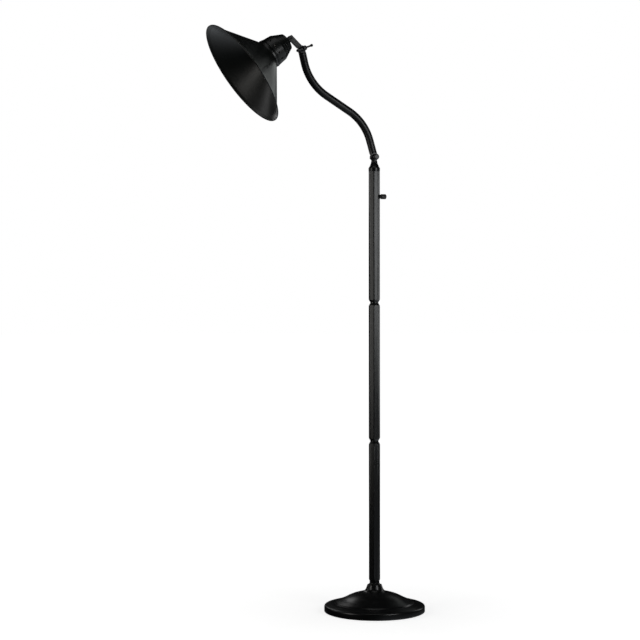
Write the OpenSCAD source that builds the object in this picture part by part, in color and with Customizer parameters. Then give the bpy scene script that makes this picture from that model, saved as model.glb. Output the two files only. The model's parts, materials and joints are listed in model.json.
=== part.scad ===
// Pharmacy floor lamp: a weighted round base, a three-piece octagonal pole with a rotary switch,
// an S-shaped arm that swivels and tilts on the pole, and a cone shade with a vented cap.
// Millimetres, +Z up. The origin is the centre of the underside of the base.
// The arm leans towards -X, and the hinge bolts lie along Y with their handles on the -Y side.

/* [Base] */
// Diameter of the base
base_d = 254; // [230:1:290]
// Height of the upright rim of the base cover
rim_h = 12.5; // [11:0.5:16]
// Height of the collar where the pole meets the base
collar_h = 69; // [64:1:78]
// Thickness of the spun base cover
base_wall = 1.6; // [1:0.1:2]
// Thickness of the felt pad
pad_t = 2.5; // [2:0.1:3]
// Radius of the bore in the cord bushing
cord_bore_r = 2.8; // [2.4:0.1:2.9]

/* [Pole] */
// Width of the octagonal tubes across the flats
tube_af = 26.4; // [25.4:0.1:27]
// Wall of the octagonal tubes
tube_wall = 1.5; // [1.2:0.1:1.8]
// Height of the lower neck between two tubes
neck_low_z = 431; // [400:1:460]
// Height of the upper neck between two tubes
neck_high_z = 780; // [740:1:800]
// Radius of the two necks
neck_r = 10.8; // [10:0.1:11]
// Height at which the top cap starts
cap_z = 1110; // [1100:1:1125]
// Height of the switch knob
switch_z = 1047; // [1000:1:1060]

/* [Arm] */
// Height of the arm's hinge above the top cap's lower edge
hinge_rise = 36; // [36:0.5:37]
// Outer radius of the arm tube
arm_r = 9.5; // [9:0.1:10]
// Wall of the arm tube
arm_wall = 1.5; // [1:0.1:2]
// Lean of the arm's lower end from the vertical
lean_low = 16; // [12:0.5:18]
// Lean of the arm's middle stretch from the vertical
lean_mid = 58.5; // [54:0.5:62]
// Lean of the arm's upper end from the vertical
lean_top = 13; // [10:0.5:20]
// Bend radius above the lower end
bend_low_r = 123; // [115:1:140]
// Bend radius below the upper end
bend_top_r = 127; // [115:1:140]
// Straight length below the lower bend
run_low = 43; // [36:0.5:50]
// Straight length between the bends
run_mid = 71; // [64:0.5:78]
// Straight length above the upper bend
run_top = 33.5; // [28:0.5:40]

/* [Hinges] */
// Radius of the hinge cheeks
cheek_r = 9; // [8.5:0.1:9.2]
// Distance from the middle plane to the outside of a cheek
cheek_y = 7; // [6:0.5:8]
// Gap between the two cheeks
cheek_gap = 1; // [0.8:0.1:1.2]
// Radius of the hinge bolts
stud_r = 2.95; // [2.8:0.05:3]
// Radial running clearance
play = 0.1; // [0.05:0.01:0.1]

/* [Head] */
// Length of the link from the upper hinge to its corner
link_l = 38; // [36:0.5:44]
// Width of the square link bar
link_w = 11; // [10:0.5:12]
// Angle of the shade's axis below the horizontal
aim = 36.1; // [20:0.1:45]
// Distance from the shade's rim to the corner of the link
corner_d = 157; // [157:0.5:160]
// Radius of the shade's rim
shade_r = 140; // [130:1:150]
// Radius of the shade's neck
shade_neck_r = 37; // [36.5:0.1:38]
// Depth of the shade's cone
shade_h = 82; // [76:1:82]
// Sheet thickness of the shade and its cap
sheet_t = 1; // [0.8:0.1:1.2]
// Number of vent holes in the cap
vents = 12; // [8:1:16]
// Radius of the vent holes
vent_r = 2.5; // [1.5:0.1:3]
// Radius of the lampholder's screw shell bore
lamp_r = 13; // [12.9:0.05:13.1]

/* [Hidden] */
$fn = 64;

base_r = base_d / 2;
stud_bore = 3.2;
nipple_r = 5;
tube_in_af = tube_af - 2 * tube_wall;
foot_z = 84;
foot_neck_r = 12.4;
taper_h = 7.5;
ring_h = 3;
ferrule_in = 20;
nipple_half = 24;
plug_h = 18;
bush_z = pad_t + 5.2;
bush_l = 10;
cap_shoulder_z = cap_z + 8.7;
cap_top_z = cap_shoulder_z + 15;
cap_tip_r = 8;
hinge_z = cap_z + hinge_rise;
switch_half = 11;
switch_bush_r = 3.5;
switch_pin_r = 2;
spindle_r = 5.5;
spindle_l = 66;
stem_r = 7.6;
washer_t = 1.2;
nut_collar = 4.4;
collar_from = cheek_r + 0.4;
clamp_gap = 0.3;
bar_lean = 22;
bar_r = 2.25;
bar_y = -cheek_y - 18.3;
arm_collar_to = 14;
lead_r = 2.6;

// Plan of the S-shaped arm in the X-Z plane, worked out from its runs and bends
function heading(lean) = [-sin(lean), cos(lean)];
function beside(lean) = [-cos(lean), -sin(lean)];
bend_low_at = run_low * heading(lean_low);
bend_low_mid = bend_low_at + bend_low_r * beside(lean_low);
run_mid_at = bend_low_mid - bend_low_r * beside(lean_mid);
bend_top_at = run_mid_at + run_mid * heading(lean_mid);
bend_top_mid = bend_top_at - bend_top_r * beside(lean_mid);
run_top_at = bend_top_mid + bend_top_r * beside(lean_top);
reach = run_top_at + run_top * heading(lean_top);

// The head: the upper hinge, the corner of the link and the middle of the shade's rim
link_lean = 46.5;
head_at = [reach[0], 0, hinge_z + reach[1]];
corner_at = head_at + link_l * [-sin(link_lean), 0, cos(link_lean)];
rim_at = corner_at - corner_d * [cos(aim), 0, sin(aim)];
shade_collar_h = 6.6;
band_d = shade_h + shade_collar_h;
band_r = 37.8;
band_top_r = 34.3;
band_h = 27;
dome_h = 27.8;
dome_top_r = 20.5;
cap_end_d = band_d + band_h + dome_h;
body_d = shade_h + 2;
body_end_d = cap_end_d - 17;
shell_d = shade_h + 4;
shell_l = 27;
neck_screw_r = 1.2;

black = [0.07, 0.07, 0.07];
iron = [0.2, 0.2, 0.2];
steel = [0.62, 0.62, 0.64];
brass = [0.78, 0.62, 0.3];

// Shared shapes

function unit(v) = v / norm(v);
function left_of(v) = [-v[1], v[0]];
function side_before(p, i) = left_of(unit(i > 0 ? p[i] - p[i - 1] : p[1] - p[0]));
function side_after(p, i) = left_of(unit(i < len(p) - 1 ? p[i + 1] - p[i] : p[i] - p[i - 1]));
function inset(p, i, t) =
    let (n = unit(side_before(p, i) + side_after(p, i)))
    p[i] + t * n / (n * side_before(p, i));
function arc_points(mid, r, from, to, steps) =
    [for (k = [0 : steps]) let (a = from + (to - from) * k / steps) mid + r * [cos(a), sin(a)]];

// A sheet of thickness t turned round the axis, on the left side of its outline
module turned_sheet(outline, t) {
    inner = [for (i = [len(outline) - 1 : -1 : 0]) inset(outline, i, t)];
    rotate_extrude() polygon(concat(outline, inner));
}

module octagon(af, h) {
    rotate([0, 0, 22.5]) cylinder(r = af / 2 / cos(22.5), h = h, $fn = 8);
}

module ring(r, bore, h) {
    difference() {
        cylinder(r = r, h = h);
        translate([0, 0, -1]) cylinder(r = bore, h = h + 2);
    }
}

module hex_nut(af, bore, h) {
    difference() {
        cylinder(r = af / 2 / cos(30), h = h, $fn = 6);
        translate([0, 0, -1]) cylinder(r = bore, h = h + 2);
    }
}

// Places its children, which are drawn along +Z from 0, along +Y from y
module along_y(y) {
    translate([0, y, 0]) rotate([-90, 0, 0]) children();
}

// Places its children, which are drawn along +Z from 0, along +X from x
module along_x(x) {
    translate([x, 0, 0]) rotate([0, 90, 0]) children();
}

// Frames of the two hinges and of the shade, whose +Z runs from the rim back to the cap
module at_arm_hinge() {
    translate([0, 0, hinge_z]) children();
}

module at_head_hinge() {
    translate(head_at) children();
}

module at_shade() {
    translate(rim_at) rotate([0, 90 - aim, 0]) children();
}

// Half of a lapped hinge: a cheek on one side, a round collar and a shank along +Z
module knuckle(side, collar_r, collar_to, shank_r, shank_to, bore_from) {
    lap = cheek_y - cheek_gap / 2;
    lap_y = side > 0 ? cheek_gap / 2 : -cheek_y;
    difference() {
        union() {
            along_y(lap_y) cylinder(r = cheek_r, h = lap);
            intersection() {
                cylinder(r = collar_r, h = collar_from);
                translate([-collar_r, lap_y, 0]) cube([2 * collar_r, lap, collar_from]);
            }
            translate([0, 0, collar_from]) cylinder(r = collar_r, h = collar_to - collar_from);
            translate([0, 0, collar_to]) cylinder(r = shank_r, h = shank_to - collar_to);
        }
        along_y(-cheek_y - 1) cylinder(r = stud_r + play, h = 2 * cheek_y + 2);
        translate([0, 0, bore_from]) cylinder(r = stud_bore, h = shank_to - bore_from + 1);
    }
}

// Domed nut with its washer and collar on the far end of a hinge bolt
module domed_nut() {
    hex_from = cheek_y + nut_collar;
    hex_h = 6;
    difference() {
        union() {
            along_y(cheek_y) cylinder(r = 8, h = washer_t);
            along_y(cheek_y + washer_t) cylinder(r = 6.4, h = nut_collar - washer_t);
            along_y(hex_from) cylinder(r = 7, h = hex_h, $fn = 6);
            translate([0, hex_from + hex_h, 0]) sphere(r = 5.6);
        }
        along_y(cheek_y - 1) cylinder(r = stud_r + play, h = nut_collar + hex_h + 1);
    }
}

module hinge_stud(from) {
    along_y(from) cylinder(r = stud_r, h = cheek_y + nut_collar + 4 - from);
}

module friction_washer() {
    along_y(-0.3) ring(8, stud_r + play, 0.3 + cheek_gap / 2);
}

// Base

base_outline = concat(
    [[base_r, pad_t - 1]],
    arc_points([base_r - 6, rim_h], 6, 0, 75, 5),
    [[base_r - 21, 23], [base_r - 24, 22.2], [base_r - 28, 23.4], [base_r - 30, 25.6]],
    [[base_r - 45, 31.8]],
    arc_points([base_r - 111.3, collar_h - 134.8], 117, 59, 75.5, 4),
    [[30, collar_h - 17], [25, collar_h - 13], [21, collar_h - 8.5], [19.4, collar_h - 5]],
    [[18, collar_h - 1], [17.4, collar_h], [6.8, collar_h]]
);

module base_shell() {
    color(black) difference() {
        turned_sheet(base_outline, base_wall);
        translate([0, 0, bush_z]) along_y(base_r - bush_l) cylinder(r = cord_bore_r + 1, h = 2 * bush_l);
    }
}

module base_weight() {
    boss_r = 12;
    recess_r = 18;
    recess_h = 8;
    color(iron) difference() {
        rotate_extrude() polygon([
            [nipple_r, pad_t], [base_r - 5, pad_t], [base_r - 5, 8], [base_r - 24, 11],
            [base_r - 50, 15], [60, 20], [40, 26], [24, 40], [boss_r, collar_h - 20],
            [boss_r, collar_h - base_wall], [nipple_r, collar_h - base_wall]
        ]);
        translate([0, 0, pad_t - 1]) cylinder(r = recess_r, h = recess_h + 1);
        translate([-5, 0, pad_t - 1]) cube([10, base_r + 1, recess_h + 1]);
    }
}

module base_pad() {
    color([0.12, 0.12, 0.12]) cylinder(r = base_r - 4, h = pad_t);
}

module base_stud() {
    stud_l = 92;
    color(steel) translate([0, 0, pad_t + 0.5]) ring(nipple_r, stud_bore, stud_l);
}

module base_washer() {
    color(steel) translate([0, 0, pad_t + 6.5]) ring(15, nipple_r, 1.5);
}

module base_nut() {
    color(steel) translate([0, 0, pad_t + 1]) hex_nut(16, nipple_r, 5.5);
}

module cord_bushing() {
    flange_r = 4.7;
    flange_t = 2;
    color([0.05, 0.05, 0.05]) translate([0, 0, bush_z]) difference() {
        union() {
            along_y(base_r - bush_l) cylinder(r = cord_bore_r + 1, h = bush_l);
            along_y(base_r) cylinder(r = flange_r, h = flange_t);
        }
        along_y(base_r - bush_l - 1) cylinder(r = cord_bore_r, h = bush_l + flange_t + 2);
    }
}

// Pole

module foot_ferrule() {
    flare_h = 4;
    neck_h = 5;
    cone_z = collar_h + flare_h + neck_h;
    color(black) difference() {
        union() {
            translate([0, 0, collar_h]) cylinder(r1 = 15, r2 = foot_neck_r, h = flare_h);
            translate([0, 0, collar_h + flare_h]) cylinder(r = foot_neck_r, h = neck_h);
            translate([0, 0, cone_z]) intersection() {
                octagon(tube_af, foot_z - cone_z);
                cylinder(r1 = foot_neck_r, r2 = foot_neck_r + 2.4, h = foot_z - cone_z);
            }
            translate([0, 0, foot_z]) octagon(tube_in_af, ferrule_in);
        }
        translate([0, 0, collar_h - 1]) cylinder(r = nipple_r, h = 60);
    }
}

module pole_tube(from, to) {
    color(black) translate([0, 0, from]) difference() {
        octagon(tube_af, to - from);
        translate([0, 0, -1]) octagon(tube_in_af, to - from + 2);
    }
}

module pole_lower() {
    pole_tube(foot_z, neck_low_z - ring_h / 2 - taper_h);
}

module pole_middle() {
    pole_tube(neck_low_z + ring_h / 2 + taper_h, neck_high_z - ring_h / 2 - taper_h);
}

module pole_upper() {
    color(black) difference() {
        pole_tube(neck_high_z + ring_h / 2 + taper_h, cap_z);
        translate([0, 0, switch_z]) along_x(0) cylinder(r = switch_bush_r, h = tube_af);
    }
}

// Tapered end of a tube, drawn upwards from the neck
module ferrule() {
    difference() {
        union() {
            intersection() {
                octagon(tube_af, taper_h);
                cylinder(r1 = neck_r, r2 = tube_af / 2 / cos(22.5) + 0.4, h = taper_h);
            }
            translate([0, 0, taper_h]) octagon(tube_in_af, ferrule_in);
        }
        translate([0, 0, -1]) cylinder(r = nipple_r, h = taper_h + ferrule_in + 2);
    }
}

module pole_ferrules() {
    for (z = [neck_low_z, neck_high_z]) {
        color(black) translate([0, 0, z + ring_h / 2]) ferrule();
        color(black) translate([0, 0, z - ring_h / 2]) mirror([0, 0, 1]) ferrule();
    }
}

module coupling_nipples() {
    for (z = [neck_low_z, neck_high_z]) {
        color(steel) translate([0, 0, z - nipple_half]) ring(nipple_r, stud_bore, 2 * nipple_half);
    }
}

module coupling_rings() {
    for (z = [neck_low_z, neck_high_z]) {
        color(black) translate([0, 0, z - ring_h / 2]) ring(neck_r - 0.5, nipple_r, ring_h);
    }
}

module pole_cap() {
    skirt_r = tube_af / 2 / cos(22.5) + 0.2;
    color(black) difference() {
        union() {
            translate([0, 0, cap_z - plug_h]) octagon(tube_in_af, plug_h);
            rotate_extrude() polygon([
                [0, cap_z], [skirt_r, cap_z], [skirt_r, cap_shoulder_z - 1],
                [skirt_r - 0.8, cap_shoulder_z], [cap_tip_r, cap_top_z], [0, cap_top_z]
            ]);
        }
        translate([0, 0, cap_z - plug_h - 1]) cylinder(r = spindle_r + play, h = 60);
    }
}

module supply_lead() {
    from = 20;
    color([0.1, 0.1, 0.1]) translate([0, 0, from]) cylinder(r = lead_r, h = switch_z - switch_half - from);
}

// Switch

module switch_body() {
    front_x = 8;
    color([0.1, 0.1, 0.1]) translate([0, 0, switch_z]) difference() {
        union() {
            translate([-6, -7.5, -switch_half]) cube([front_x + 6, 15, 2 * switch_half]);
            along_x(front_x) cylinder(r = 4.4, h = tube_in_af / 2 - front_x);
            along_x(front_x) cylinder(r = switch_bush_r, h = 9.2);
        }
        along_x(2) cylinder(r = switch_pin_r + play, h = 20);
    }
}

module switch_nut() {
    color(black) translate([0, 0, switch_z]) along_x(tube_af / 2) hex_nut(10, switch_bush_r, 2.4);
}

module switch_spindle() {
    color(steel) translate([0, 0, switch_z]) along_x(3) cylinder(r = switch_pin_r, h = 24);
}

module switch_knob() {
    knob_r = 6.4;
    knob_x = 17.6;
    knob_l = 14;
    color(black) translate([0, 0, switch_z]) difference() {
        union() {
            along_x(knob_x) cylinder(r = knob_r, h = knob_l - 2);
            along_x(knob_x + knob_l - 2) cylinder(r1 = knob_r, r2 = knob_r - 2, h = 2);
        }
        along_x(knob_x - 1) cylinder(r = switch_pin_r, h = 10.4);
        for (k = [0 : 11]) {
            rotate([k * 30, 0, 0]) translate([knob_x + 2, 0, knob_r + 0.6])
                rotate([0, 90, 0]) cylinder(r = 1.1, h = knob_l);
        }
    }
}

// Swivel and lower hinge

module swivel_knuckle() {
    color(black) at_arm_hinge() rotate([180, 0, 0])
        knuckle(-1, stem_r, hinge_z - cap_top_z - 0.1, spindle_r, spindle_l, collar_from + 1);
}

module swivel_washer() {
    color(brass) translate([0, 0, cap_z - plug_h - 0.1 - washer_t]) ring(9, spindle_r, washer_t);
}

module swivel_nut() {
    nut_h = 6;
    color(steel) translate([0, 0, cap_z - plug_h - 0.1 - washer_t - nut_h]) hex_nut(16, spindle_r, nut_h);
}

module arm_joint_washer() {
    color(brass) at_arm_hinge() friction_washer();
}

module arm_cap_nut() {
    color(black) at_arm_hinge() domed_nut();
}

module arm_knob() {
    knob_r = 7.5;
    knob_l = 12;
    back = -cheek_y - clamp_gap;
    color(black) at_arm_hinge() difference() {
        union() {
            along_y(back - washer_t) cylinder(r = 6, h = washer_t);
            along_y(back - knob_l) cylinder(r1 = knob_r - 2.5, r2 = knob_r, h = 2.5);
            along_y(back - knob_l + 2.5) cylinder(r = knob_r, h = knob_l - 3.7);
        }
        along_y(back - 8) cylinder(r = stud_r, h = 10);
        for (k = [0 : 9]) {
            rotate([0, k * 36, 0]) translate([knob_r + 0.7, 0, 0])
                along_y(back - knob_l - 1) cylinder(r = 1.3, h = knob_l - 0.2);
        }
    }
}

module arm_stud() {
    color(steel) at_arm_hinge() hinge_stud(-cheek_y - 8.3);
}

// Arm

// Wall of a tube, or a solid bar where the bore is 0
module wall(r, bore) {
    difference() {
        circle(r = r);
        if (bore > 0) circle(r = bore);
    }
}

module straight_wall(at, lean, from, to, r, bore) {
    translate(at) rotate([0, 0, 90 + lean]) rotate([0, 90, 0])
        translate([0, 0, from]) linear_extrude(to - from) wall(r, bore);
}

module bent_wall(mid, bend_r, from, to, r, bore) {
    translate(mid) rotate([0, 0, from])
        rotate_extrude(angle = to - from) translate([bend_r, 0]) wall(r, bore);
}

// The arm's S, drawn as its straight runs and bends, with a ring inside the wall at each seam.
// spare is the thickness between that ring and the faces of the wall.
module arm_path(r, bore, spare) {
    seam = 0.01;
    seams = [
        [bend_low_at, lean_low], [run_mid_at, lean_mid], [bend_top_at, lean_mid], [run_top_at, lean_top]
    ];
    at_arm_hinge() rotate([90, 0, 0]) {
        straight_wall([0, 0], lean_low, arm_collar_to, run_low - seam, r, bore);
        bent_wall(bend_low_mid, bend_low_r, lean_low, lean_mid, r, bore);
        straight_wall(run_mid_at, lean_mid, seam, run_mid - seam, r, bore);
        bent_wall(bend_top_mid, bend_top_r, 180 + lean_top, 180 + lean_mid, r, bore);
        straight_wall(run_top_at, lean_top, seam, run_top - arm_collar_to, r, bore);
        for (s = seams) {
            straight_wall(s[0], s[1], -1.5, 1.5, r - spare, bore > 0 ? bore + spare : 0);
        }
    }
}

module arm_tube() {
    color(black) arm_path(arm_r, arm_r - arm_wall, arm_wall / 4);
}

module arm_foot() {
    color(black) at_arm_hinge() rotate([0, -lean_low, 0])
        knuckle(-1, arm_r, arm_collar_to, arm_r - arm_wall, run_low, arm_collar_to);
}

module arm_head() {
    color(black) at_head_hinge() rotate([0, 180 - lean_top, 0])
        knuckle(1, arm_r, arm_collar_to, arm_r - arm_wall, run_top, arm_collar_to);
}

module arm_lead() {
    color([0.1, 0.1, 0.1]) arm_path(lead_r, 0, 0.3);
}

// Upper hinge

module tilt_joint_washer() {
    color(brass) at_head_hinge() friction_washer();
}

module tilt_cap_nut() {
    color(black) at_head_hinge() domed_nut();
}

module tilt_hub() {
    back = -cheek_y - clamp_gap;
    color(black) at_head_hinge() difference() {
        union() {
            along_y(back - 1.5) cylinder(r = 7, h = 1.5);
            along_y(back - 13) cylinder(r = 5, h = 12);
            along_y(back - 23) cylinder(r = 6, h = 10);
        }
        along_y(back - 11) cylinder(r = stud_r, h = 12);
        rotate([0, -bar_lean, 0]) translate([0, bar_y, 0]) along_x(-10) cylinder(r = bar_r, h = 20);
    }
}

module tilt_bar() {
    bar_l = 46;
    end_r = 3.6;
    color(black) at_head_hinge() rotate([0, -bar_lean, 0]) translate([0, bar_y, 0]) {
        along_x(-bar_l / 2 + end_r) cylinder(r = bar_r, h = bar_l - 2 * end_r);
        for (side = [-1, 1]) {
            translate([side * (bar_l / 2 - end_r), 0, 0]) sphere(r = end_r);
        }
    }
}

module tilt_stud() {
    color(steel) at_head_hinge() hinge_stud(-cheek_y - 11.3);
}

// Head

module shade_link() {
    color(black) difference() {
        union() {
            at_head_hinge() rotate([0, -link_lean, 0]) {
                along_y(-cheek_y) cylinder(r = cheek_r, h = cheek_y - cheek_gap / 2);
                translate([-link_w / 2, -cheek_y, 0])
                    cube([link_w, cheek_y - cheek_gap / 2, collar_from + 2]);
                translate([-link_w / 2, -cheek_y, collar_from])
                    cube([link_w, cheek_y + link_w / 2, link_l + link_w / 2 - collar_from]);
            }
            at_shade() translate([0, 0, cap_end_d]) {
                cylinder(r = 10, h = 2);
                cylinder(r = 7.5, h = corner_d - cap_end_d);
            }
        }
        at_head_hinge() along_y(-cheek_y - 1) cylinder(r = stud_r + play, h = 2 * cheek_y + 2);
        at_shade() translate([0, 0, cap_end_d - 1]) cylinder(r = nipple_r, h = 8);
    }
}

// Draws its children at each of the three neck screws, with +X pointing out of the neck
module at_neck_screws() {
    for (k = [0 : 2]) {
        rotate([0, 0, 120 * k + 60]) translate([shade_neck_r - 5, 0, shade_h + 3.8]) children();
    }
}

module shade() {
    bead_r = 1.5;
    lip = [[shade_r - bead_r, bead_r], [shade_r - 10, 6], [shade_r - 19, 13.5]];
    neck = [[shade_neck_r + 1, shade_h - 1], [shade_neck_r, shade_h], [shade_neck_r, band_d]];
    color(black) at_shade() difference() {
        union() {
            turned_sheet(concat(lip, neck), sheet_t);
            rotate_extrude() translate([shade_r - bead_r, bead_r]) circle(r = bead_r, $fn = 32);
        }
        at_neck_screws() along_x(0) cylinder(r = neck_screw_r, h = 10);
    }
}

module shade_cap() {
    lip_r = shade_neck_r - sheet_t;
    dome_r = band_top_r - 0.4;
    grooves = 3;
    outline = [
        [lip_r, shade_h + 1], [lip_r, band_d + 0.4], [band_r - 0.5, band_d + 0.6],
        [band_r, band_d + 1.6], [band_top_r, band_d + band_h],
        [dome_top_r + 1, cap_end_d - 1], [dome_top_r - 1, cap_end_d], [nipple_r, cap_end_d]
    ];
    slope = atan2(dome_h, dome_r - dome_top_r);
    color(black) at_shade() difference() {
        turned_sheet(outline, sheet_t);
        at_neck_screws() along_x(0) cylinder(r = neck_screw_r, h = 10);
        for (k = [0 : vents - 1]) {
            rotate([0, 0, (k + 0.5) * 360 / vents]) translate([band_r - 6, 0, band_d + 12.4])
                rotate([0, 90, 0]) cylinder(r = vent_r, h = 12);
        }
        for (k = [1 : grooves]) {
            along = k / (grooves + 1);
            translate([0, 0, band_d + band_h + along * dome_h])
                ring(50, dome_r - along * dome_h / tan(slope), 0.8);
        }
    }
}

module shade_screws() {
    color(black) at_shade() at_neck_screws() {
        along_x(0) cylinder(r = neck_screw_r, h = 5);
        along_x(5) cylinder(r = 2.4, h = 1.4);
    }
}

module cap_nut() {
    color(steel) at_shade() translate([0, 0, cap_end_d - sheet_t - 4]) hex_nut(15, nipple_r, 4);
}

module socket_nipple() {
    color(steel) at_shade() translate([0, 0, body_end_d]) ring(nipple_r, stud_bore, 23.5);
}

module socket_body() {
    body_l = body_end_d - body_d;
    shoulder_h = 8;
    cavity_h = 32;
    color([0.85, 0.84, 0.8]) at_shade() translate([0, 0, body_d]) difference() {
        union() {
            cylinder(r = 18, h = body_l - shoulder_h);
            translate([0, 0, body_l - shoulder_h]) cylinder(r1 = 18, r2 = 12, h = shoulder_h);
            translate([0, 0, body_l]) cylinder(r = 9, h = 9);
        }
        translate([0, 0, -1]) cylinder(r = lamp_r + 1, h = cavity_h + 1);
        translate([0, 0, body_l]) cylinder(r = nipple_r, h = 10);
        translate([0, 0, cavity_h - 1]) cylinder(r = 2, h = 40);
    }
}

module socket_shell() {
    color(brass) at_shade() translate([0, 0, shell_d]) ring(lamp_r + 1, lamp_r, shell_l);
}

module socket_contact() {
    disc_h = 2.5;
    color(brass) at_shade() translate([0, 0, shell_d + shell_l + 0.5]) {
        cylinder(r = 4, h = disc_h);
        translate([0, 0, disc_h]) cylinder(r = 2, h = 8);
    }
}

base_shell();
base_weight();
base_pad();
base_stud();
base_nut();
base_washer();
cord_bushing();
foot_ferrule();
pole_lower();
pole_middle();
pole_upper();
pole_ferrules();
coupling_nipples();
coupling_rings();
pole_cap();
supply_lead();
switch_body();
switch_nut();
switch_spindle();
switch_knob();
swivel_knuckle();
swivel_washer();
swivel_nut();
arm_joint_washer();
arm_cap_nut();
arm_knob();
arm_stud();
arm_tube();
arm_foot();
arm_head();
arm_lead();
tilt_joint_washer();
tilt_cap_nut();
tilt_hub();
tilt_bar();
tilt_stud();
shade_link();
shade();
shade_cap();
shade_screws();
cap_nut();
socket_nipple();
socket_body();
socket_shell();
socket_contact();
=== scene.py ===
"""Looks of the pharmacy floor lamp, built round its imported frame.

Outlines are in millimetres as (radius, height) points, and every piece ends up in metres in the frame of
the CAD model. A piece with a fine outline stands in for its CAD node; the other nodes keep their own meshes.
"""

import json
import math

import bmesh
import bpy
from mathutils import Matrix, Quaternion, Vector


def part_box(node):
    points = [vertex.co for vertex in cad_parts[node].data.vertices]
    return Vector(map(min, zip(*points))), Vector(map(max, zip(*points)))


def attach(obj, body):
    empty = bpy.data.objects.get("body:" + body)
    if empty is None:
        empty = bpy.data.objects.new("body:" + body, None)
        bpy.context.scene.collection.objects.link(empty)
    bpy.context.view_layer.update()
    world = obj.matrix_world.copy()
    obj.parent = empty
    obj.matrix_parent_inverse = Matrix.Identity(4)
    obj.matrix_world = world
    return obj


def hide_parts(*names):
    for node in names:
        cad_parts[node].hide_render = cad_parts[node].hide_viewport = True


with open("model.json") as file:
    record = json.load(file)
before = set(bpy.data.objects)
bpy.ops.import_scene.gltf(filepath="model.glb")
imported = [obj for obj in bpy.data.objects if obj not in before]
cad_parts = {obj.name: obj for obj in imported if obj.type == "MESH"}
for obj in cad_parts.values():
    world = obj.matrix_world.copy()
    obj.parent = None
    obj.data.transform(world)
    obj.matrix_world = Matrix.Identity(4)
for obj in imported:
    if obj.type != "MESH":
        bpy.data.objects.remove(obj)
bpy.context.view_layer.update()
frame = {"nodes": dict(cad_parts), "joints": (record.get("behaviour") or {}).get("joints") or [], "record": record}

MM = 0.001
joints = {j["name"]: j for j in frame["joints"]}
mounts = {m["name"]: m for m in frame["record"]["mounts"]}
ARM_HINGE = Vector(joints["arm_tilt"]["pos_m"])
HEAD_HINGE = Vector(joints["shade_tilt"]["pos_m"])
SWITCH = Vector(joints["switch_rotate"]["pos_m"])

# The shade's frame: +Z runs from the middle of the rim back to the cap
SOCKET_DEPTH = 99.5 * MM
SHADE_OUT = Vector(mounts["bulb_socket"]["axis"]).normalized()
SHADE_RIM = Vector(mounts["bulb_socket"]["pos_m"]) + SOCKET_DEPTH * SHADE_OUT
SHADE_TURN = math.atan2(-SHADE_OUT.x, -SHADE_OUT.z)


# Camera, lights and floor

def aimed(obj, at, target, roll=0.0):
    obj.location = at
    obj.rotation_mode = "QUATERNION"
    facing = (target - at).to_track_quat("-Z", "Y")
    obj.rotation_quaternion = facing @ Quaternion((0, 0, 1), math.radians(roll))
    bpy.context.scene.collection.objects.link(obj)
    return obj


def around(azimuth, distance, height):
    """A point round the pole: azimuth 0 is on the -Y side and 90 on the +X side, in degrees."""
    a = math.radians(azimuth)
    return Vector((math.sin(a) * distance, -math.cos(a) * distance, height))


CAMERA_AZIMUTH = -20
CAMERA_DISTANCE = 4.2
CAMERA_HEIGHT = 0.80
CAMERA_PAN = 18.1325
CAMERA_PITCH = -0.8669
CAMERA_ROLL = -0.07
camera_at = around(CAMERA_AZIMUTH, CAMERA_DISTANCE, CAMERA_HEIGHT)
ahead = around(180 - CAMERA_PAN, 1, math.tan(math.radians(CAMERA_PITCH)))
aim_at = camera_at + CAMERA_DISTANCE * ahead
camera_data = bpy.data.cameras.new("camera")
camera_data.lens = 93.75
camera_data.sensor_width = 36
camera_data.clip_end = 60
camera = aimed(bpy.data.objects.new("camera", camera_data), camera_at, aim_at, CAMERA_ROLL)
bpy.context.scene.camera = camera


def softbox(name, at, target, width, height, power, tint=(1, 1, 1), spread=180):
    data = bpy.data.lights.new(name, "AREA")
    data.shape = "RECTANGLE"
    data.size = width
    data.size_y = height
    data.energy = power
    data.color = tint
    data.spread = math.radians(spread)
    return aimed(bpy.data.objects.new(name, data), at, target)


FLOOR_GLOW = 0.5
ROOM_GLOW = 0.006


def lights():
    chest = Vector((0, 0, 1.15))
    head = (HEAD_HINGE + SHADE_RIM) / 2
    softbox("key", around(22, 2.3, 1.22), chest, 0.8, 1.15, 10, (0.97, 0.99, 1))
    softbox("fill", around(-80, 2.4, 1.05), Vector((0, 0, 1.05)), 0.9, 1.4, 8.5, (1, 0.98, 0.94))
    softbox("side", around(112, 2.4, 1.1), chest, 0.6, 1.5, 3.6, (0.98, 0.99, 1))
    softbox("shade", around(135, 2.7, 2.3), head, 1.4, 1.1, 0.36, (0.95, 1, 0.98), 50)
    softbox("top", Vector((-0.2, -0.4, 3.0)), Vector((-0.2, 0, 1.0)), 1.6, 1.2, 3)
    softbox("back", around(190, 2.8, 1.8), chest, 0.8, 1.3, 4)
    softbox("back_left", around(232, 2.6, 1.5), chest, 0.7, 1.3, 2.2)


def ramp(nodes, links, value, low, high, to_low=0.0, to_high=1.0):
    """A Map Range node from low..high to to_low..to_high, with its ends held."""
    node = nodes.new("ShaderNodeMapRange")
    for name, number in (("From Min", low), ("From Max", high), ("To Min", to_low), ("To Max", to_high)):
        node.inputs[name].default_value = number
    links.new(value, node.inputs["Value"])
    return node.outputs[0]


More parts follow.
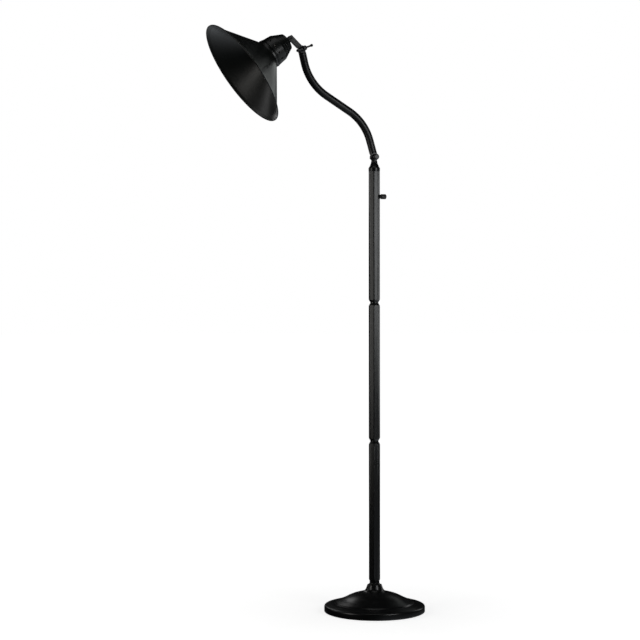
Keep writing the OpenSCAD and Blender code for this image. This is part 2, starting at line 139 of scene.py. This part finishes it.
def white_room():
    """White to the camera. What it lights sees a dim grey, and a paler floor to the right and below."""
    world = bpy.data.worlds.new("room")
    world.use_nodes = True
    nodes, links = world.node_tree.nodes, world.node_tree.links
    nodes.clear()
    out = nodes.new("ShaderNodeOutputWorld")
    mix = nodes.new("ShaderNodeMixShader")
    seen = nodes.new("ShaderNodeBackground")
    seen.inputs["Color"].default_value = (1, 1, 1, 1)
    lit = nodes.new("ShaderNodeBackground")
    lit.inputs["Color"].default_value = (0.9, 0.95, 1, 1)
    place = nodes.new("ShaderNodeTexCoord")
    parts = nodes.new("ShaderNodeSeparateXYZ")
    links.new(place.outputs["Generated"], parts.inputs[0])
    both = nodes.new("ShaderNodeMath")
    both.operation = "MULTIPLY"
    links.new(ramp(nodes, links, parts.outputs["Z"], -0.19, -0.32), both.inputs[0])
    links.new(ramp(nodes, links, parts.outputs["X"], -0.35, 0.15), both.inputs[1])
    strength = nodes.new("ShaderNodeMath")
    strength.operation = "MULTIPLY_ADD"
    strength.inputs[1].default_value = FLOOR_GLOW
    strength.inputs[2].default_value = ROOM_GLOW
    links.new(both.outputs[0], strength.inputs[0])
    links.new(strength.outputs[0], lit.inputs["Strength"])
    path = nodes.new("ShaderNodeLightPath")
    links.new(path.outputs["Is Camera Ray"], mix.inputs[0])
    links.new(lit.outputs[0], mix.inputs[1])
    links.new(seen.outputs[0], mix.inputs[2])
    links.new(mix.outputs[0], out.inputs[0])
    bpy.context.scene.world = world


def pale_floor():
    """A white floor that glows a little, more so further out, so that it meets the white room."""
    mesh = bpy.data.meshes.new("floor")
    bm = bmesh.new()
    bmesh.ops.create_circle(bm, cap_ends=True, segments=64, radius=30)
    bm.to_mesh(mesh)
    bm.free()
    floor = bpy.data.objects.new("floor", mesh)
    bpy.context.scene.collection.objects.link(floor)
    floor.visible_glossy = False
    floor.visible_diffuse = False
    floor.visible_shadow = False
    mat = bpy.data.materials.new("floor")
    mat.use_nodes = True
    nodes, links = mat.node_tree.nodes, mat.node_tree.links
    shader = nodes["Principled BSDF"]
    for name, value in (
        ("Base Color", (0.85, 0.85, 0.85, 1)), ("Roughness", 0.9), ("Specular IOR Level", 0),
        ("Emission Color", (1, 1, 1, 1))
    ):
        shader.inputs[name].default_value = value
    place = nodes.new("ShaderNodeTexCoord")
    length = nodes.new("ShaderNodeVectorMath")
    length.operation = "LENGTH"
    links.new(place.outputs["Object"], length.inputs[0])
    glow = ramp(nodes, links, length.outputs["Value"], 0.15, 1.0, 0.80, 1.0)
    links.new(glow, shader.inputs["Emission Strength"])
    mesh.materials.append(mat)


# Outlines

def arc(middle, radius, start, end, steps=8):
    """Points on an arc, from start to end in degrees."""
    turn = [math.radians(start + (end - start) * k / steps) for k in range(steps + 1)]
    return [(middle[0] + radius * math.cos(a), middle[1] + radius * math.sin(a)) for a in turn]


def rounded(corners, steps=5):
    """Turns each (r, z, radius) corner into an arc of that radius; plain (r, z) corners stay sharp."""
    points = []
    for k, corner in enumerate(corners):
        here = Vector(corner[:2])
        if len(corner) < 3:
            points.append(tuple(here))
            continue
        before = Vector(corners[k - 1][:2]) - here
        after = Vector(corners[(k + 1) % len(corners)][:2]) - here
        half = before.angle(after) / 2
        reach = min(corner[2] / math.tan(half), before.length * 0.48, after.length * 0.48)
        start = here + before.normalized() * reach
        end = here + after.normalized() * reach
        for s in range(steps + 1):
            t = s / steps
            blend = start.lerp(here, t).lerp(here.lerp(end, t), t)
            points.append(tuple(blend))
    return points


def sheet(outline, thickness):
    """A closed outline of a sheet: the outline and a copy of it moved to its left."""
    inner = []
    for k, point in enumerate(outline):
        here = Vector(point)
        sides = []
        if k > 0:
            sides.append((here - Vector(outline[k - 1])).normalized())
        if k < len(outline) - 1:
            sides.append((Vector(outline[k + 1]) - here).normalized())
        along = sum(sides, Vector((0, 0))).normalized()
        left = Vector((-along.y, along.x))
        inner.append(tuple(here + left * thickness / max(0.5, along.dot(sides[0]))))
    return list(outline) + inner[::-1]


def polygon_radius(sides, apothem, corner):
    """Radius at an angle of a regular polygon with rounded corners, with a flat facing angle 0."""
    half = math.pi / sides
    middle = (apothem - corner) / math.cos(half)
    meets = math.atan2(middle * math.sin(half), apothem)

    def radius(angle):
        a = (angle + half) % (2 * half) - half
        if abs(a) <= meets:
            return apothem / math.cos(a)
        off = half - abs(a)
        return middle * math.cos(off) + math.sqrt(max(0, corner ** 2 - (middle * math.sin(off)) ** 2))
    return radius


def within(radius, low=-math.inf):
    """Keeps a turned outline within a polygon above a height."""
    return lambda r, z, angle: min(r, radius(angle)) if z >= low else r


def fluted(count, depth, low, high):
    """Cuts rounded flutes into a turned outline between two heights."""
    def shape(r, z, angle):
        if not low <= z <= high:
            return r
        return r - depth * max(0, math.cos(count * angle)) ** 3
    return shape


# Meshes

def piece(name, bm, body, replaces, material, sharp=32):
    bmesh.ops.recalc_face_normals(bm, faces=bm.faces)
    mesh = bpy.data.meshes.new(name)
    bm.to_mesh(mesh)
    bm.free()
    mesh.polygons.foreach_set("use_smooth", [True] * len(mesh.polygons))
    mesh.set_sharp_from_angle(angle=math.radians(sharp))
    mesh.materials.append(material)
    obj = bpy.data.objects.new(name, mesh)
    bpy.context.scene.collection.objects.link(obj)
    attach(obj, body)
    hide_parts(*replaces)
    return obj


def turn(bm, outline, place=None, segments=96, shape=None):
    """Revolves an outline about +Z. One that starts and ends on the axis is solid, any other is a ring."""
    place = place or Matrix()
    solid = outline[0][0] < 1e-6 and outline[-1][0] < 1e-6
    rings = []
    for r, z in outline:
        if r < 1e-6:
            rings.append([bm.verts.new(place @ Vector((0, 0, z * MM)))])
            continue
        ring = []
        for k in range(segments):
            a = math.tau * k / segments
            rr = (shape(r, z, a) if shape else r) * MM
            ring.append(bm.verts.new(place @ Vector((rr * math.cos(a), rr * math.sin(a), z * MM))))
        rings.append(ring)
    pairs = list(zip(rings, rings[1:]))
    if not solid:
        pairs.append((rings[-1], rings[0]))
    for one, two in pairs:
        for k in range(segments):
            n = (k + 1) % segments
            if len(one) == 1:
                bm.faces.new((one[0], two[n], two[k]))
            elif len(two) == 1:
                bm.faces.new((one[k], one[n], two[0]))
            else:
                bm.faces.new((one[k], one[n], two[n], two[k]))
    return bm


def turned(name, outline, body, replaces, material, place=None, segments=96, shape=None, sharp=32):
    bm = turn(bmesh.new(), outline, place, segments, shape)
    return piece(name, bm, body, replaces, material, sharp)


def sweep(path, radius, bore, sides=48):
    """A hollow tube along a path in the X-Z plane, in metres."""
    bm = bmesh.new()
    rings = []
    angles = [math.tau * s / sides for s in range(sides)]
    for k, point in enumerate(path):
        before, after = path[max(k - 1, 0)], path[min(k + 1, len(path) - 1)]
        along = (after - before).normalized()
        side = Vector((along.z, 0, -along.x))
        across = [side * math.cos(a) + Vector((0, 1, 0)) * math.sin(a) for a in angles]
        outer = [bm.verts.new(point + radius * MM * d) for d in across]
        inner = [bm.verts.new(point + bore * MM * d) for d in across]
        rings.append((outer, inner))
    for (out_a, in_a), (out_b, in_b) in zip(rings, rings[1:]):
        for s in range(sides):
            n = (s + 1) % sides
            bm.faces.new((out_a[s], out_a[n], out_b[n], out_b[s]))
            bm.faces.new((in_a[s], in_a[n], in_b[n], in_b[s]))
    for outer, inner in (rings[0], rings[-1]):
        for s in range(sides):
            n = (s + 1) % sides
            bm.faces.new((outer[s], outer[n], inner[n], inner[s]))
    return bm


def along_y(at, side, start=0.0):
    """A place whose +Z runs along +Y or -Y, from a start in millimetres out of a point."""
    out = Vector((0, side * start * MM, 0))
    return Matrix.Translation(at + out) @ Matrix.Rotation(-side * math.pi / 2, 4, "X")


def soften(node, material, width):
    """Rounds the edges of a CAD node with modifiers, and gives it a material."""
    obj = frame["nodes"][node]
    weld = obj.modifiers.new("weld", "WELD")
    weld.merge_threshold = 1e-5
    bevel = obj.modifiers.new("bevel", "BEVEL")
    bevel.width = width * MM
    bevel.segments = 3
    bevel.limit_method = "ANGLE"
    bevel.angle_limit = math.radians(35)
    bevel.harden_normals = True
    paint(node, material)


def paint(node, material):
    obj = frame["nodes"][node]
    obj.data.materials.clear()
    obj.data.materials.append(material)


# Materials

class Shader:
    """A Principled material with short calls for its textures."""

    def __init__(self, name, color, roughness, metallic=0.0, specular=0.5):
        self.mat = bpy.data.materials.new(name)
        self.mat.use_nodes = True
        self.nodes = self.mat.node_tree.nodes
        self.links = self.mat.node_tree.links
        self.bsdf = self.nodes["Principled BSDF"]
        self.set("Base Color", (*color, 1))
        self.set("Roughness", roughness)
        self.set("Metallic", metallic)
        self.set("Specular IOR Level", specular)
        self.place = self.nodes.new("ShaderNodeTexCoord").outputs["Object"]

    def set(self, name, value):
        self.bsdf.inputs[name].default_value = value

    def noise(self, scale, detail=4, rough=0.55, where=None, squash=(1, 1, 1)):
        mapping = self.nodes.new("ShaderNodeMapping")
        mapping.inputs["Scale"].default_value = squash
        self.links.new(where or self.place, mapping.inputs[0])
        node = self.nodes.new("ShaderNodeTexNoise")
        node.inputs["Scale"].default_value = scale
        node.inputs["Detail"].default_value = detail
        node.inputs["Roughness"].default_value = rough
        self.links.new(mapping.outputs[0], node.inputs["Vector"])
        return node.outputs["Fac"]

    def remap(self, value, low, high, to_low=0.0, to_high=1.0):
        return ramp(self.nodes, self.links, value, low, high, to_low, to_high)

    def math(self, kind, one, two):
        node = self.nodes.new("ShaderNodeMath")
        node.operation = kind
        for socket, value in zip(node.inputs, (one, two)):
            if isinstance(value, (int, float)):
                socket.default_value = value
            else:
                self.links.new(value, socket)
        return node.outputs[0]

    def mix(self, factor, one, two):
        node = self.nodes.new("ShaderNodeMix")
        node.data_type = "RGBA"
        self.links.new(factor, node.inputs["Factor"])
        for socket, value in ((node.inputs[6], one), (node.inputs[7], two)):
            if isinstance(value, tuple):
                socket.default_value = (*value, 1)
            else:
                self.links.new(value, socket)
        return node.outputs[2]

    def bump(self, height, strength, distance, onto=None):
        node = self.nodes.new("ShaderNodeBump")
        node.inputs["Strength"].default_value = strength
        node.inputs["Distance"].default_value = distance
        self.links.new(height, node.inputs["Height"])
        if onto is not None:
            self.links.new(onto, node.inputs["Normal"])
        return node.outputs[0]

    def dust(self, amount, scale, level, speck):
        """Specks of dust on what faces up by more than a level, thickest on top."""
        geometry = self.nodes.new("ShaderNodeNewGeometry")
        parts = self.nodes.new("ShaderNodeSeparateXYZ")
        self.links.new(geometry.outputs["Normal"], parts.inputs[0])
        facing_up = self.remap(parts.outputs["Z"], level, 1.0, 0, amount)
        specks = self.remap(self.noise(scale, 6, 0.7), speck, 0.75)
        return self.math("MULTIPLY", facing_up, specks)

    def edges(self, low, high):
        geometry = self.nodes.new("ShaderNodeNewGeometry")
        return self.remap(geometry.outputs["Pointiness"], low, high)

    def drive(self, name, value):
        self.links.new(value, self.bsdf.inputs[name])


def lacquer(name, color, worn, roughness, peel=0.04):
    """Sprayed black lacquer: orange peel, faint cloudiness, dust on what faces up and rubbed edges."""
    s = Shader(name, color, roughness)
    s.set("Coat Weight", 0.15)
    s.set("Coat Roughness", 0.2)
    dust = s.dust(0.3, 420, 0.25, 0.52)
    rubbed = s.math("MULTIPLY", s.edges(0.53, 0.60), s.remap(s.noise(60, 4), 0.4, 0.7))
    base = s.mix(s.remap(s.noise(9, 3), 0.35, 0.7), color, tuple(c * 1.35 for c in color))
    base = s.mix(dust, base, (0.05, 0.05, 0.047))
    s.drive("Base Color", s.mix(s.math("MULTIPLY", rubbed, 0.6), base, worn))
    spread = s.remap(s.noise(35, 5), 0.3, 0.75, roughness - 0.02, roughness + 0.03)
    s.drive("Roughness", s.math("ADD", spread, s.math("MULTIPLY", dust, 0.25)))
    s.drive("Normal", s.bump(s.noise(650, 2), peel, 0.0004))
    return s.mat


def spun(name, color, roughness):
    """Lacquered spun sheet: the spinning lines run round the shade's own axis."""
    s = Shader(name, color, roughness)
    s.set("Coat Weight", 0.1)
    s.set("Coat Roughness", 0.25)
    mapping = s.nodes.new("ShaderNodeMapping")
    mapping.vector_type = "TEXTURE"
    mapping.inputs["Location"].default_value = SHADE_RIM
    mapping.inputs["Rotation"].default_value = (0, SHADE_TURN, 0)
    s.links.new(s.place, mapping.inputs[0])
    parts = s.nodes.new("ShaderNodeSeparateXYZ")
    s.links.new(mapping.outputs[0], parts.inputs[0])
    lines = s.nodes.new("ShaderNodeTexNoise")
    lines.noise_dimensions = "1D"
    lines.inputs["Scale"].default_value = 900
    lines.inputs["Detail"].default_value = 3
    s.links.new(parts.outputs["Z"], lines.inputs["W"])
    dust = s.dust(0.1, 380, 0.1, 0.5)
    base = s.mix(s.remap(s.noise(14, 4), 0.35, 0.7), color, tuple(c * 1.3 for c in color))
    s.drive("Base Color", s.mix(dust, base, (0.05, 0.052, 0.048)))
    spread = s.remap(s.noise(30, 5), 0.3, 0.75, roughness - 0.02, roughness + 0.03)
    s.drive("Roughness", s.math("ADD", spread, s.remap(lines.outputs["Fac"], 0.3, 0.7, -0.03, 0.03)))
    ringed = s.bump(lines.outputs["Fac"], 0.12, 0.0003)
    s.drive("Normal", s.bump(s.noise(700, 2), 0.03, 0.0003, ringed))
    return s.mat


def metal(name, color, tarnish, roughness, stretch):
    """Turned or plated metal with fine streaks and darker tarnish in patches."""
    s = Shader(name, color, roughness, metallic=1)
    streaks = s.noise(160, 4, 0.6, squash=(1, 1, stretch))
    patches = s.remap(s.noise(45, 5), 0.45, 0.75)
    s.drive("Base Color", s.mix(s.math("MULTIPLY", patches, 0.6), color, tarnish))
    s.drive("Roughness", s.remap(streaks, 0.3, 0.7, roughness - 0.08, roughness + 0.12))
    s.drive("Normal", s.bump(streaks, 0.12, 0.0002))
    return s.mat


def casting():
    iron = (0.045, 0.043, 0.041)
    s = Shader("cast iron", iron, 0.75, metallic=0.6)
    rust = s.remap(s.noise(28, 6), 0.52, 0.72)
    s.drive("Base Color", s.mix(s.math("MULTIPLY", rust, 0.5), iron, (0.13, 0.055, 0.025)))
    s.drive("Normal", s.bump(s.noise(380, 6, 0.7), 0.7, 0.0008))
    return s.mat


def felt():
    s = Shader("felt", (0.02, 0.02, 0.022), 0.95, specular=0.15)
    s.set("Sheen Weight", 0.4)
    fibres = s.noise(900, 8, 0.8, squash=(1, 1, 0.3))
    s.drive("Base Color", s.mix(s.remap(fibres, 0.35, 0.7), (0.012, 0.012, 0.013), (0.05, 0.05, 0.053)))
    s.drive("Normal", s.bump(fibres, 0.9, 0.0009))
    return s.mat


def moulded(name, color, roughness, grain, specular=0.5, stain=1.8):
    """Moulded phenolic, porcelain or rubber: a faint mottle and a fine grain."""
    s = Shader(name, color, roughness, specular=specular)
    mottle = s.remap(s.noise(120, 5, 0.65), 0.4, 0.7)
    s.drive("Base Color", s.mix(mottle, color, tuple(c * stain for c in color)))
    s.drive("Roughness", s.remap(s.noise(60, 4), 0.3, 0.7, roughness - 0.06, roughness + 0.08))
    s.drive("Normal", s.bump(s.noise(800, 4), grain, 0.0003))
    return s.mat


WORN = (0.03, 0.03, 0.029)
BLACK = lacquer("black lacquer", (0.0045, 0.0048, 0.0050), WORN, 0.29)
SATIN = lacquer("satin black lacquer on the arm", (0.0050, 0.0052, 0.0054), WORN, 0.40)
CASTED = lacquer("black lacquer on castings", (0.0045, 0.0045, 0.0048), (0.04, 0.039, 0.037), 0.33, 0.09)
SPUN = spun("black lacquer on spun sheet", (0.0050, 0.0060, 0.0053), 0.34)
IRON = casting()
FELT = felt()
ZINC = metal("zinc plated steel", (0.55, 0.56, 0.58), (0.33, 0.33, 0.32), 0.32, 8)
BRASS = metal("brass", (0.72, 0.50, 0.19), (0.30, 0.19, 0.08), 0.24, 5)
PHENOLIC = moulded("phenolic", (0.012, 0.009, 0.007), 0.32, 0.05)
PORCELAIN = moulded("glazed porcelain", (0.62, 0.61, 0.57), 0.16, 0.02, stain=0.94)
RUBBER = moulded("rubber", (0.012, 0.012, 0.012), 0.62, 0.25, specular=0.3)


# Base and pole

def base():
    outline = rounded([
        (126.2, 1.5), (127, 2.4, 0.8), (127, 17.2, 5.5), (106, 23, 1.6), (103.2, 21.9, 1.0),
        (99.4, 22.9, 0.9), (97, 25.6, 1.4), (82, 31.8, 3), (77, 34)
    ])
    outline += arc((15.7, -65.8), 117, 59, 75.5, 10)[1:]
    outline += rounded([(43, 48.0), (23.5, 53, 15), (18.2, 68.4, 0.5), (17.4, 69), (7, 69)], 8)
    turned("base_cover", sheet(outline, 1.6), "stand", ["base_shell"], BLACK, segments=192)
    pad = rounded([(0, 0), (123, 0, 0.6), (123, 2.5, 0.5), (0, 2.5)])
    turned("felt_pad", pad, "stand", ["base_pad"], FELT, segments=128)
    paint("base_weight", IRON)
    for node in ("base_stud", "base_nut", "base_washer"):
        soften(node, ZINC, 0.2)


def bushing():
    lo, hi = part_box("cord_bushing")
    middle = Vector(((lo.x + hi.x) / 2, lo.y, (lo.z + hi.z) / 2))
    place = along_y(middle, 1)
    outline = rounded([
        (2.8, 0), (3.8, 0), (3.8, 10), (4.7, 10, 0.1), (4.7, 11, 0.5), (4.1, 12, 0.4), (2.8, 12, 0.5),
        (2.8, 6)
    ])
    turned("cord_grommet", outline, "stand", ["cord_bushing"], RUBBER, place, 64)


TUBE = polygon_radius(8, 13.2, 1.3)
TUBE_CORNER = 14.3
TUBE_BORE = 11.6
RING_HALF = 1.5


def heights(node):
    lo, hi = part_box(node)
    return lo.z / MM, hi.z / MM


def tube(node):
    low, high = heights(node)
    edge = TUBE_CORNER - 0.6
    outline = [
        (TUBE_BORE, low), (edge, low), (TUBE_CORNER, low + 0.5),
        (TUBE_CORNER, high - 0.5), (edge, high), (TUBE_BORE, high)
    ]
    turned(node + "_tube", outline, "stand", [node], BLACK, segments=160,
           shape=within(TUBE), sharp=20)


def neck(bm, middle, side):
    """One tapered tube end, which starts at the ring and widens to the full octagon."""
    start = middle + side * RING_HALF
    full = start + side * 7.5
    end = start + side * 20
    cone = [(10.8 + 3.9 * k / 10, start + (full - start) * k / 10) for k in range(11)]
    outline = [(5, start), (10.5, start)] + cone + [(TUBE_BORE, full), (TUBE_BORE, end), (5, end)]
    turn(bm, outline, segments=160, shape=within(TUBE))


def pole():
    for node in ("pole_lower", "pole_middle", "pole_upper"):
        tube(node)
    lowest, highest = heights("coupling_rings")
    ends, bands = bmesh.new(), bmesh.new()
    for middle in (lowest + RING_HALF, highest - RING_HALF):
        for side in (-1, 1):
            neck(ends, middle, side)
        band = rounded([
            (5, middle - RING_HALF), (10.2, middle - RING_HALF), (10.2, middle - 1.1), (10.3, middle, 0.9),
            (10.2, middle + 1.1), (10.2, middle + RING_HALF), (5, middle + RING_HALF)
        ])
        turn(bands, band, segments=96)
    piece("tube_ends", ends, "stand", ["pole_ferrules"], BLACK, 20)
    piece("neck_rings", bands, "stand", ["coupling_rings"], BLACK)
    foot_z, foot_end = heights("foot_ferrule")
    foot = rounded([
        (5, foot_z), (14.8, foot_z, 0.4), (15, foot_z + 1, 0.4), (12.5, foot_z + 4, 1.2), (12.4, foot_z + 9)
    ])
    foot += [(12.4 + 2.4 * k / 8, foot_z + 9 + 6 * k / 8) for k in range(1, 9)]
    foot += [(TUBE_BORE, foot_z + 15), (TUBE_BORE, foot_end), (5, foot_end)]
    turned("foot", foot, "stand", ["foot_ferrule"], BLACK, segments=160,
           shape=within(TUBE, foot_z + 8), sharp=20)
    top = heights("pole_upper")[1]
    top_cap = rounded([
        (5.6, top - 17), (11.5, top - 17), (11.5, top), (TUBE_CORNER, top, 0.2), (14.45, top + 1.2, 0.4),
        (14.45, top + 8.4, 0.9), (11.4, top + 13.2, 0.8), (11.1, top + 14.2, 0.5), (8.4, top + 20.6, 2),
        (8, top + 23.7, 0.4), (5.6, top + 23.7)
    ])
    turned("top_cap", top_cap, "stand", ["pole_cap"], BLACK, segments=128)
    paint("supply_lead", RUBBER)
    soften("coupling_nipples", ZINC, 0.2)


def switch():
    along_x = Matrix.Translation(SWITCH) @ Matrix.Rotation(math.pi / 2, 4, "Y")
    knob = rounded([
        (0, 17.6), (5.8, 17.6, 0.3), (6.3, 18.8, 0.5), (6.4, 29.4, 1.2), (4.6, 31.5, 0.9),
        (3.4, 31.2, 0.3), (0, 31.2)
    ])
    turned("switch_grip", knob, "switch_turn", ["switch_knob"], PHENOLIC, along_x, 144,
           fluted(18, 0.45, 19.2, 30.2))
    nut = rounded([
        (3.5, 13.2), (5.5, 13.2, 0.3), (5.7, 13.7, 0.2), (5.7, 15.1, 0.2), (5.1, 15.6, 0.2), (3.5, 15.6)
    ])
    turned("switch_ring_nut", nut, "stand", ["switch_nut"], CASTED, along_x, 96,
           within(polygon_radius(6, 5, 0.3)))
    soften("switch_body", PHENOLIC, 0.4)
    soften("switch_spindle", ZINC, 0.2)


# Hinges

def domed_nut(name, at, body, node):
    """A washer, a round collar, a hexagon and a dome, in one turning."""
    outline = rounded([
        (0, 0), (7.7, 0, 0.2), (8, 0.6, 0.3), (7.7, 1.2, 0.2), (6.2, 1.25), (6.4, 1.7, 0.3), (6.4, 4.2, 0.3),
        (6.3, 4.4), (7, 5.0, 0.3), (7, 9.8, 0.3), (5.7, 10.4)
    ])
    outline += arc((0, 10.4), 5.6, 4, 88, 12) + [(0, 16)]
    turned(name, outline, body, [node], CASTED, along_y(at, 1, 7), 96,
           within(polygon_radius(6, 6.06, 0.35), 4.45))


def cross_bar():
    """The T-handle's bar with a ball on each end, which the CAD node's box gives the slope of."""
    half, ball, rod = 19.4, 3.6, 2.25
    lo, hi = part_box("tilt_bar")
    slope = math.atan2(hi.z - lo.z - 2 * ball * MM, hi.x - lo.x - 2 * ball * MM)
    bar = [(0, -half - ball)] + arc((0, -half), ball, -86, 48, 12) + [(rod, -half + 3.4), (rod, half - 3.4)]
    bar += arc((0, half), ball, -48, 86, 12) + [(0, half + ball)]
    place = Matrix.Translation((lo + hi) / 2) @ Matrix.Rotation(math.pi / 2 - slope, 4, "Y")
    turned("tilt_cross_bar", bar, "tilt_clamp", ["tilt_bar"], CASTED, place, 64)


def hinges():
    domed_nut("arm_domed_nut", ARM_HINGE, "swivel", "arm_cap_nut")
    domed_nut("tilt_domed_nut", HEAD_HINGE, "arm", "tilt_cap_nut")
    knob = rounded([
        (0, 0), (5.7, 0, 0.2), (6, 0.6, 0.3), (5.2, 1.3, 0.3), (6.7, 1.9, 0.4), (7.5, 3, 0.8),
        (7.5, 9.4, 1.4), (5.2, 12, 1.4), (0, 12)
    ])
    turned("arm_grip", knob, "arm_clamp", ["arm_knob"], CASTED,
           along_y(ARM_HINGE, -1, 7.3), 160, fluted(20, 0.5, 2.6, 10.5))
    hub = rounded([
        (0, 0), (6.8, 0, 0.3), (7, 1.2, 0.4), (5.2, 2.2, 1.2), (4.6, 6, 3), (5, 12.4, 0.5), (6, 13, 0.8),
        (6, 21.6, 2), (3, 23, 1), (0, 23)
    ])
    turned("tilt_grip_hub", hub, "tilt_clamp", ["tilt_hub"], CASTED,
           along_y(HEAD_HINGE, -1, 7.3), 96)
    cross_bar()
    for node in ("swivel_knuckle", "arm_foot", "arm_head"):
        soften(node, CASTED, 0.5)
    soften("shade_link", CASTED, 0.8)
    for node in ("arm_joint_washer", "tilt_joint_washer", "swivel_washer"):
        soften(node, BRASS, 0.1)
    for node in ("arm_stud", "tilt_stud", "swivel_nut"):
        soften(node, ZINC, 0.25)


# Arm

ARM_RUNS = (43, 71, 33.5)
ARM_LEANS = (16, 58.5, 13)
ARM_BENDS = (123, 127)
ARM_TRIM = 14


def heading(lean):
    """The way up the arm in the X-Z plane, at a lean from the vertical in degrees."""
    return Vector((-math.sin(math.radians(lean)), 0, math.cos(math.radians(lean))))


def arm_path(steps=36):
    """The S of the arm tube: its straight runs, less what the two fittings take up, and its bends."""
    place = ARM_TRIM * heading(ARM_LEANS[0])
    points = [place]
    place = place + (ARM_RUNS[0] - ARM_TRIM) * heading(ARM_LEANS[0])
    points.append(place)
    for radius, start, end, run in zip(ARM_BENDS, ARM_LEANS, ARM_LEANS[1:], ARM_RUNS[1:]):
        stride = radius * math.radians(abs(end - start)) / steps
        for s in range(steps):
            place = place + stride * heading(start + (end - start) * (s + 0.5) / steps)
            points.append(place)
        place = place + run * heading(end)
        points.append(place)
    points[-1] = place - ARM_TRIM * heading(ARM_LEANS[-1])
    return [ARM_HINGE + MM * point for point in points]


def arm():
    piece("arm_pipe", sweep(arm_path(), 9.5, 8), "arm", ["arm_tube"], SATIN, 40)
    paint("arm_lead", RUBBER)


# Head

SHADE_PLACE = Matrix.Translation(SHADE_RIM) @ Matrix.Rotation(SHADE_TURN, 4, "Y")
BEAD = 1.5
BAND_START = 88.6
CAP_TOP = 143.4
VENTS = 12
VENT_DEPTH = 101
VENT_RADIUS = 2.5


def shade():
    bead = arc((138.4, BEAD), BEAD, 0, 337.5, 15)
    outline = rounded([
        (137.9, 2.0), (130, 6.4, 6), (121, 13.5, 14), (38.2, 80.8, 2.2), (37, 84, 0.6), (37, 88, 0.3),
        (36.6, BAND_START)
    ], 10)
    bm = turn(bmesh.new(), sheet(outline, 1.0), SHADE_PLACE, 256)
    turn(bm, bead, SHADE_PLACE, 256)
    piece("shade_cone", bm, "head", ["shade"], SPUN)


def cap_outline():
    """The band with its two beads, the dome with three spinning ridges, and the flat top."""
    slope = [(34.0, BAND_START + 27.4, 0.5)]
    for k in range(1, 4):
        d = BAND_START + 27 + 27.8 * k / 4
        r = 34 - 13.4 * k / 4
        slope += [(r + 0.45, d - 0.9, 0.25), (r - 0.35, d - 0.2, 0.3), (r, d + 0.5, 0.25)]
    return rounded([
        (36, 83), (36, BAND_START + 0.5, 0.2), (37.3, BAND_START + 0.6, 0.3), (37.8, BAND_START + 1.6, 0.5),
        (37.2, BAND_START + 3.4, 0.8), (36.7, BAND_START + 4.2, 0.8), (34.3, BAND_START + 26.6, 0.6)
    ] + slope + [(21.4, CAP_TOP - 0.9, 0.8), (19.5, CAP_TOP, 0.4), (6, CAP_TOP)])


def vent_cutter():
    mesh = bpy.data.meshes.new("vents")
    bm = bmesh.new()
    for k in range(VENTS):
        round_axis = Matrix.Rotation(math.tau * (k + 0.5) / VENTS, 4, "Z")
        on_band = Matrix.Translation((36 * MM, 0, VENT_DEPTH * MM)) @ Matrix.Rotation(math.pi / 2, 4, "Y")
        bmesh.ops.create_cone(
            bm, cap_ends=True, segments=32, radius1=VENT_RADIUS * MM, radius2=VENT_RADIUS * MM,
            depth=12 * MM, matrix=SHADE_PLACE @ round_axis @ on_band
        )
    bm.to_mesh(mesh)
    bm.free()
    cutter = bpy.data.objects.new("vents", mesh)
    bpy.context.scene.collection.objects.link(cutter)
    return cutter


def cap():
    cutter = vent_cutter()
    outline = sheet(cap_outline(), 1.0)
    obj = turned("vented_cap", outline, "head", ["shade_cap"], SPUN, SHADE_PLACE, 192)
    cut = obj.modifiers.new("vents", "BOOLEAN")
    cut.object = cutter
    cut.operation = "DIFFERENCE"
    bpy.context.view_layer.objects.active = obj
    bpy.context.view_layer.update()
    with bpy.context.temp_override(object=obj, active_object=obj, selected_objects=[obj]):
        bpy.ops.object.modifier_apply(modifier="vents")
    bpy.data.objects.remove(cutter)


def thread(r, z, angle):
    """Rolls one thread into the screw shell, short of both of its ends."""
    if not 86.8 < z < 111.5:
        return r
    return r + 0.38 * math.sin(math.tau * z / 3.6 - angle)


def lampholder():
    body = rounded([
        (14, 84), (17.4, 84, 0.5), (18, 85, 0.5), (18, 92, 0.4), (17.3, 92.6, 0.3), (17.3, 98, 0.3),
        (18, 98.6, 0.4), (18, 118, 0.8), (12.4, 126, 1.2), (9, 127, 0.6), (9, 135.4, 0.5), (5, 135.4),
        (5, 126), (2, 126), (2, 116), (14, 116)
    ])
    turned("holder_body", body, "head", ["socket_body"], PORCELAIN, SHADE_PLACE, 128)
    shell = [(13.9, 86), (13.9, 113)] + [(13.35, 113 - 27 * k / 90) for k in range(91)]
    turned("screw_shell", shell, "head", ["socket_shell"], BRASS, SHADE_PLACE, 128, thread, 60)
    contact = rounded([
        (0, 113.5), (3.2, 113.5, 0.6), (4, 114.4, 0.4), (4, 115.7, 0.2), (2, 116, 0.2), (2, 124, 0.4),
        (0, 124)
    ])
    turned("centre_contact", contact, "head", ["socket_contact"], BRASS, SHADE_PLACE, 64)
    for node in ("cap_nut", "socket_nipple"):
        soften(node, ZINC, 0.2)
    soften("shade_screws", CASTED, 0.3)


bpy.context.scene.view_settings.view_transform = "Standard"
lights()
white_room()
pale_floor()
base()
bushing()
pole()
switch()
hinges()
arm()
shade()
cap()
lampholder()
